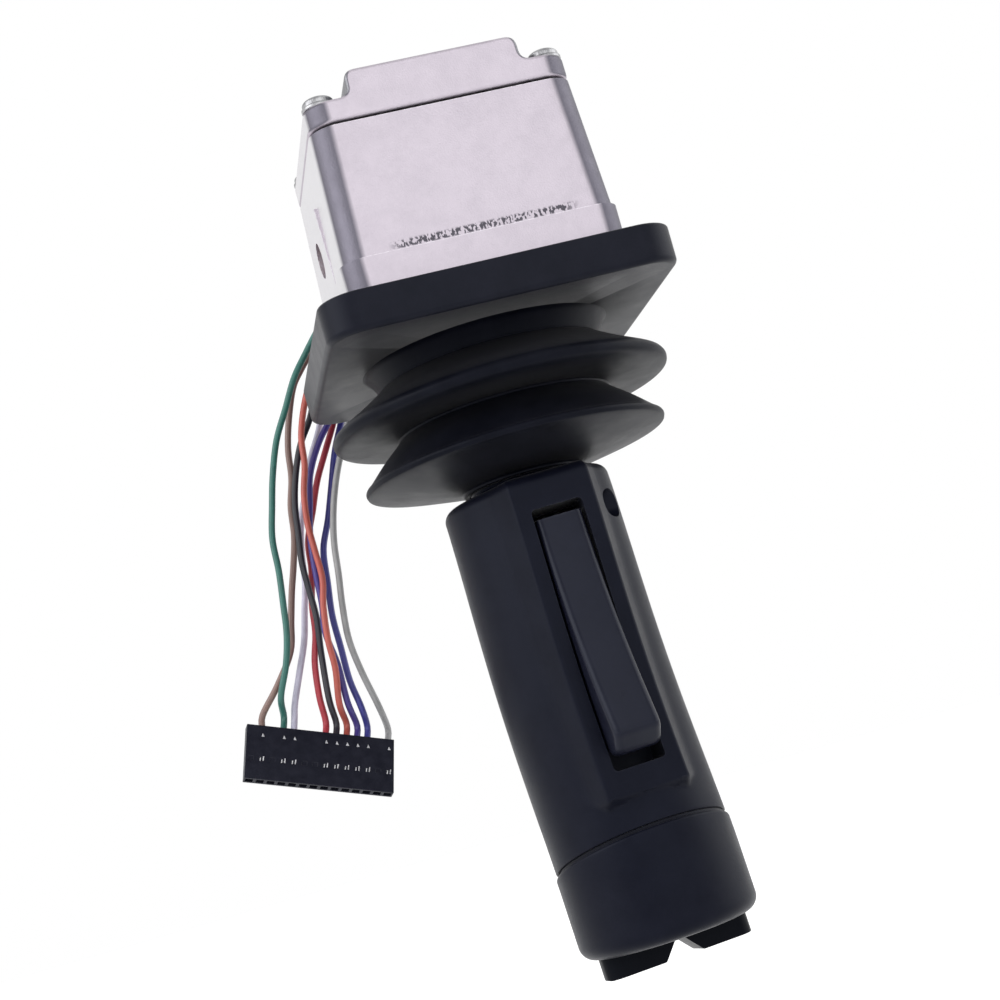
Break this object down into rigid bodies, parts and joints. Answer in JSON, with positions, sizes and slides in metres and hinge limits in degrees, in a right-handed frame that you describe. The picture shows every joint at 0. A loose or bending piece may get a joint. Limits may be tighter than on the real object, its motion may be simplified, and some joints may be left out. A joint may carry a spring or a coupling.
{
  "type": "industrial joystick",
  "caption": "Industrial joystick with a cast housing, square rubber boot, cylindrical trigger grip with a thumb rocker, and a wire harness with a flat connector.",
  "frame": {"origin": "centre of the panel screw pattern, on the panel side of the boot flange", "axes": "+Z from the grip to the housing, along the panel screws; the trigger faces -Y; +X is to the right when looking along +Y"},
  "size_m": [0.1132, 0.0957, 0.1979],
  "materials": {
    "cast_aluminium": "satin, as cast and bead blasted",
    "black_rubber": "matt",
    "grip_plastic": "fine matt grain",
    "black_moulding": "satin",
    "bronze": "sintered",
    "board": "solder mask",
    "black_plastic": "satin",
    "steel": "zinc plated",
    "wire_green": "smooth insulation",
    "wire_brown": "smooth insulation",
    "wire_white": "smooth insulation",
    "wire_red": "smooth insulation",
    "wire_black": "smooth insulation",
    "wire_orange": "smooth insulation",
    "wire_violet": "smooth insulation",
    "wire_blue": "smooth insulation",
    "wire_grey": "smooth insulation"
  },
  "bodies": {
    "base": {"housing": "cast_aluminium", "cover": "cast_aluminium", "cover_gasket": "black_rubber", "cover_screws": "steel", "cover_washers": "steel", "mounting_plate": "steel", "plate_screws": "steel", "boot_flange": "black_rubber", "boot_bellows": "black_rubber", "bush_left": "bronze", "bush_right": "bronze", "spring_post": "steel", "centring_spring": "steel", "sensor_board": "board", "hall_sensors": "black_plastic", "board_components": "black_plastic", "board_screws": "steel", "grommet": "black_rubber", "wire_green": "wire_green", "wire_brown": "wire_brown", "wire_white": "wire_white", "wire_red": "wire_red", "wire_black": "wire_black", "wire_orange": "wire_orange", "wire_violet": "wire_violet", "wire_blue": "wire_blue", "wire_grey": "wire_grey", "plug": "black_plastic", "plug_contacts": "steel"},
    "lever": {"axle": "steel", "axle_clips": "steel", "hub": "cast_aluminium", "hub_screws": "steel", "hub_magnet": "steel", "lever_shaft": "steel", "grip_stem": "steel", "boot_collar": "grip_plastic", "grip": "grip_plastic", "grip_pins": "steel", "grip_lead": "black_plastic", "hinge_pin": "steel", "trigger_spring": "steel", "trigger_board": "board", "seal_ring": "black_rubber", "end_cap": "grip_plastic", "rocker_pin": "steel", "rocker_board": "board", "rocker_screws": "steel", "rocker_springs": "steel"},
    "trigger": {"trigger": "black_moulding", "trigger_magnet": "steel"},
    "rocker": {"rocker": "black_moulding", "rocker_magnets": "steel"}
  },
  "joints": [
    {"name": "lever_swing", "type": "hinge", "parent": "base", "child": "lever", "pos_m": [0, 0, 0.0196], "axis": [1, 0, 0], "range_deg": [-20, 20], "stiffness_Nm_per_rad": 2.5, "deforming": ["boot_bellows", "centring_spring"]},
    {"name": "trigger_press", "type": "hinge", "parent": "lever", "child": "trigger", "pos_m": [0.00089, -0.01177, -0.05146], "axis": [0.9967, 0.0698, 0.0418], "range_deg": [0, 7], "stiffness_Nm_per_rad": 0.8, "springref_deg": -5.73, "deforming": ["trigger_spring"]},
    {"name": "rocker_tilt", "type": "hinge", "parent": "lever", "child": "rocker", "pos_m": [0.00365, 0, -0.13712], "axis": [-0.0697, 0.9976, -0.0029], "range_deg": [-7, 7], "stiffness_Nm_per_rad": 0.6, "deforming": ["rocker_springs"]}
  ]
}
